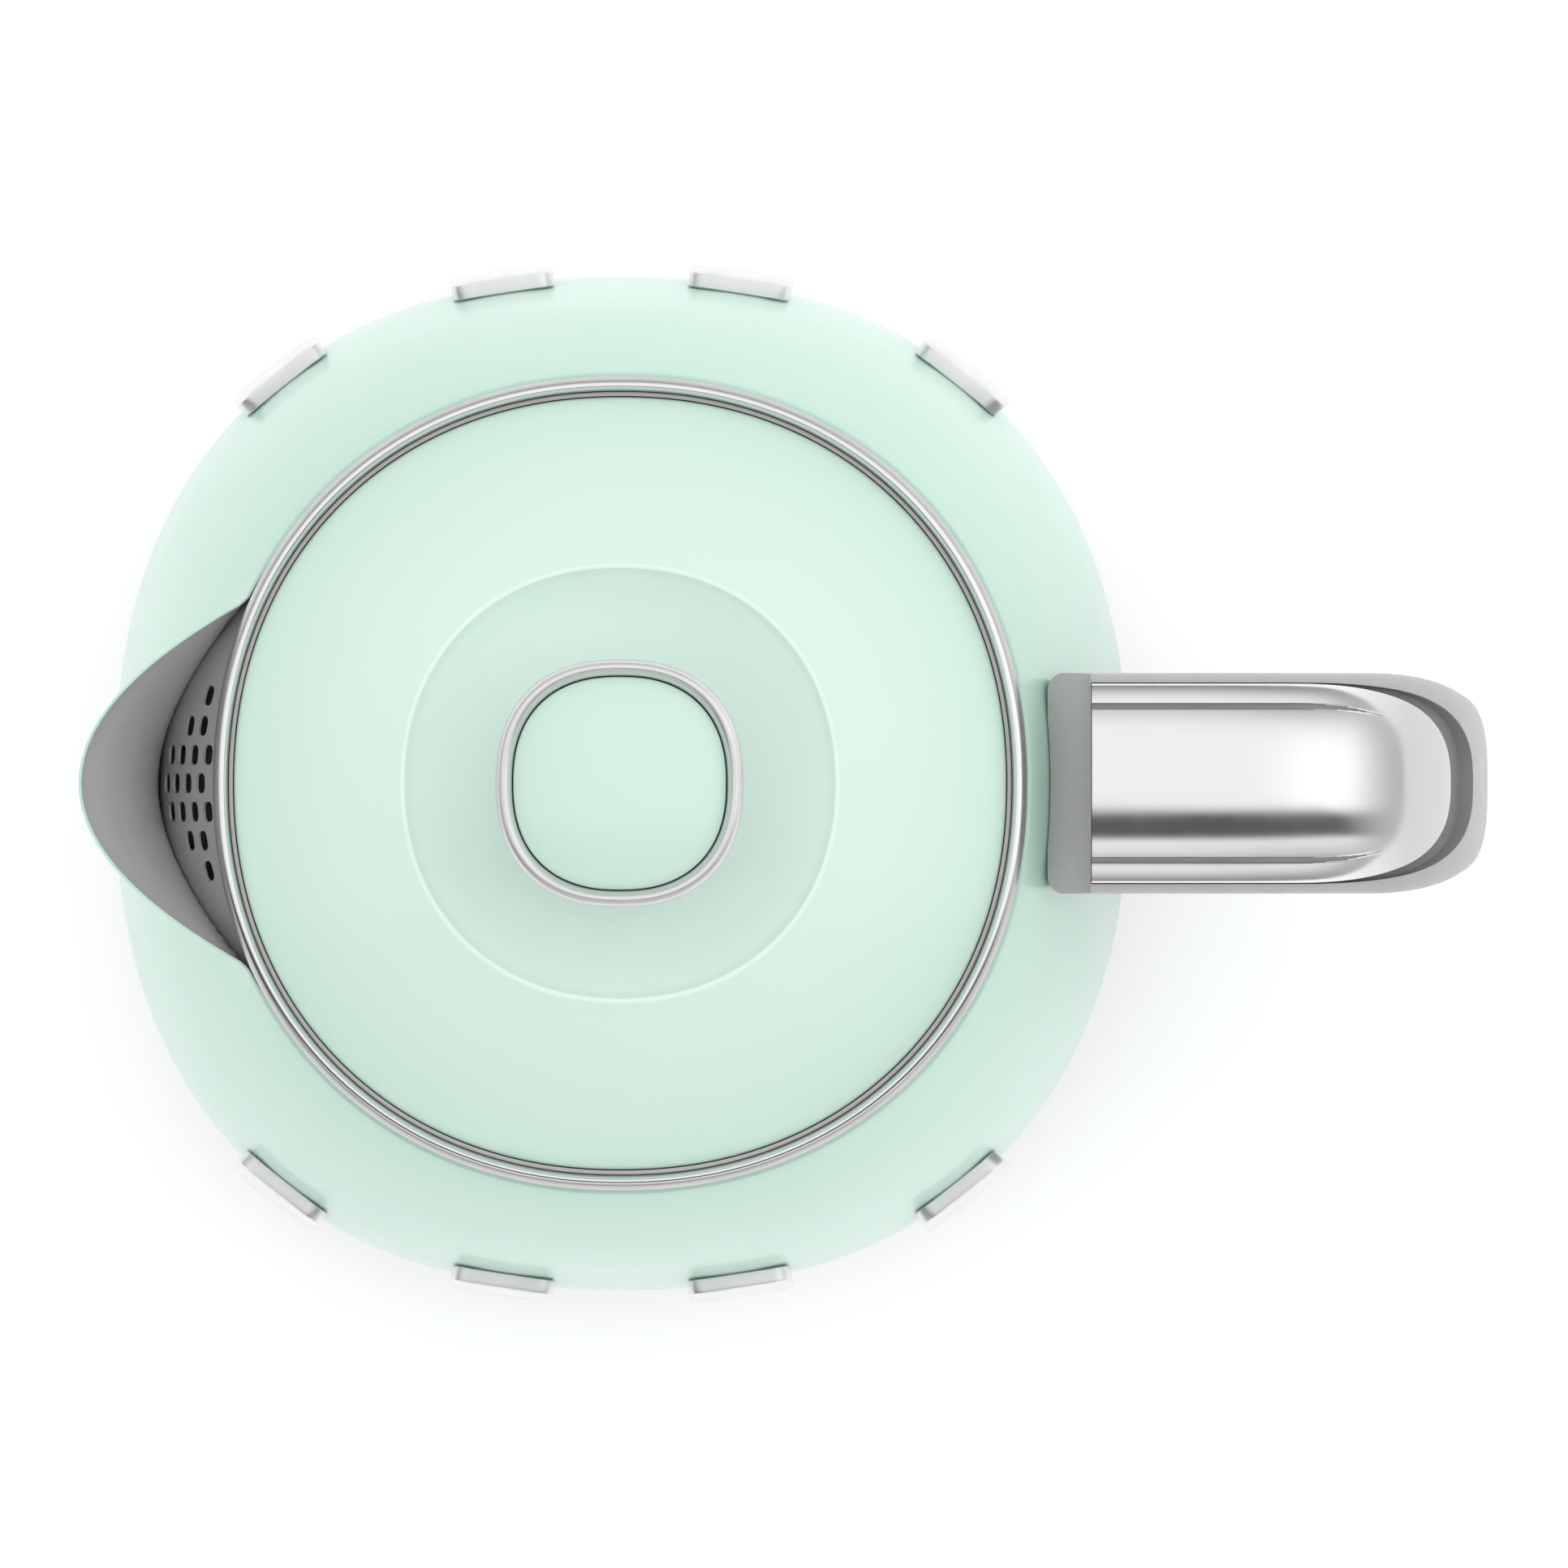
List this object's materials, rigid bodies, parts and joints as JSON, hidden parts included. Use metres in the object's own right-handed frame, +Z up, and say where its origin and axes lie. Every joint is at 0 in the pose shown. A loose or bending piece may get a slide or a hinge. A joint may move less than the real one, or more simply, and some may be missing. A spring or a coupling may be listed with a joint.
{
  "type": "electric jug kettle",
  "caption": "Compact retro jug kettle with a lift-off domed lid, beak spout, side handle, switch lever and a swivelling power base.",
  "frame": {"origin": "on the jug's turning axis at the level the rubber feet stand on, 1.2 mm below the flat underside of the power base", "axes": "+X towards the handle, -X towards the spout, +Y to the left of someone looking along +X, +Z up"},
  "size_m": [0.1983, 0.1476, 0.1936],
  "materials": {
    "mint_enamel": "gloss",
    "chrome": "polished",
    "handle_grey": "satin",
    "dark_plastic": "matt",
    "black_plastic": "matt",
    "steel": "brushed",
    "brass": "bright",
    "silicone": "matt",
    "rubber": "matt",
    "clear_plastic": "clear",
    "amber_lens": "gloss"
  },
  "bodies": {
    "power_base": {"base_cover": "handle_grey", "base_underside": "dark_plastic", "base_connector": "black_plastic", "earth_pin": "brass", "live_ring": "brass", "cord_gland": "rubber", "rubber_foot_1": "rubber", "rubber_foot_2": "rubber", "rubber_foot_3": "rubber", "rubber_foot_4": "rubber", "base_screw_1": "steel", "base_screw_2": "steel", "base_screw_3": "steel"},
    "socket": {"base_socket": "black_plastic"},
    "jug": {"body_shell": "mint_enamel", "rim_ring": "chrome", "handle_cap": "chrome", "foot_ring": "chrome", "badge_left_1": "chrome", "badge_left_2": "chrome", "badge_left_3": "chrome", "badge_left_4": "chrome", "badge_right_1": "chrome", "badge_right_2": "chrome", "badge_right_3": "chrome", "badge_right_4": "chrome", "handle_core": "handle_grey", "handle_grip": "dark_plastic", "jug_bottom_cover": "dark_plastic", "control_housing": "black_plastic", "limescale_filter": "steel", "element_plate": "steel", "heat_spreader": "steel", "heating_element": "steel", "rocker_pin": "steel", "lever_pin": "steel", "steam_tube": "steel", "handle_screw_upper": "steel", "handle_screw_lower": "steel", "cover_screw_1": "steel", "cover_screw_2": "steel", "cover_screw_3": "steel", "bimetal_disc": "brass", "window_gasket": "silicone", "plate_seal": "silicone", "level_window": "clear_plastic"},
    "lid": {"lid_cover": "mint_enamel", "lid_pan": "steel", "lid_seal": "silicone", "knob_cup": "chrome", "knob_insert": "mint_enamel", "knob_washer": "silicone", "knob_screw": "steel"},
    "lever": {"switch_lever": "handle_grey", "power_lens": "amber_lens"},
    "rocker": {"control_rocker": "black_plastic"}
  },
  "joints": [
    {"name": "jug_lift", "type": "slide", "parent": "power_base", "child": "socket", "axis": [0, 0, 1], "range_m": [0, 0.025]},
    {"name": "jug_swivel", "type": "hinge", "parent": "socket", "child": "jug", "pos_m": [0, 0, 0.02], "axis": [0, 0, 1], "continuous": true},
    {"name": "lid_lift", "type": "slide", "parent": "jug", "child": "lid", "axis": [0, 0, 1], "range_m": [0, 0.03]},
    {"name": "switch_press", "type": "hinge", "parent": "jug", "child": "lever", "pos_m": [0.057, 0, 0.031], "axis": [0, 1, 0], "range_deg": [0, 12]},
    {"name": "rocker_tilt", "type": "hinge", "parent": "jug", "child": "rocker", "pos_m": [0.037, 0, 0.0274], "axis": [0, -1, 0], "range_deg": [0, 12]}
  ],
  "couplings": [
    {"joint": "rocker_tilt", "follows": "switch_press", "ratio": 1}
  ]
}
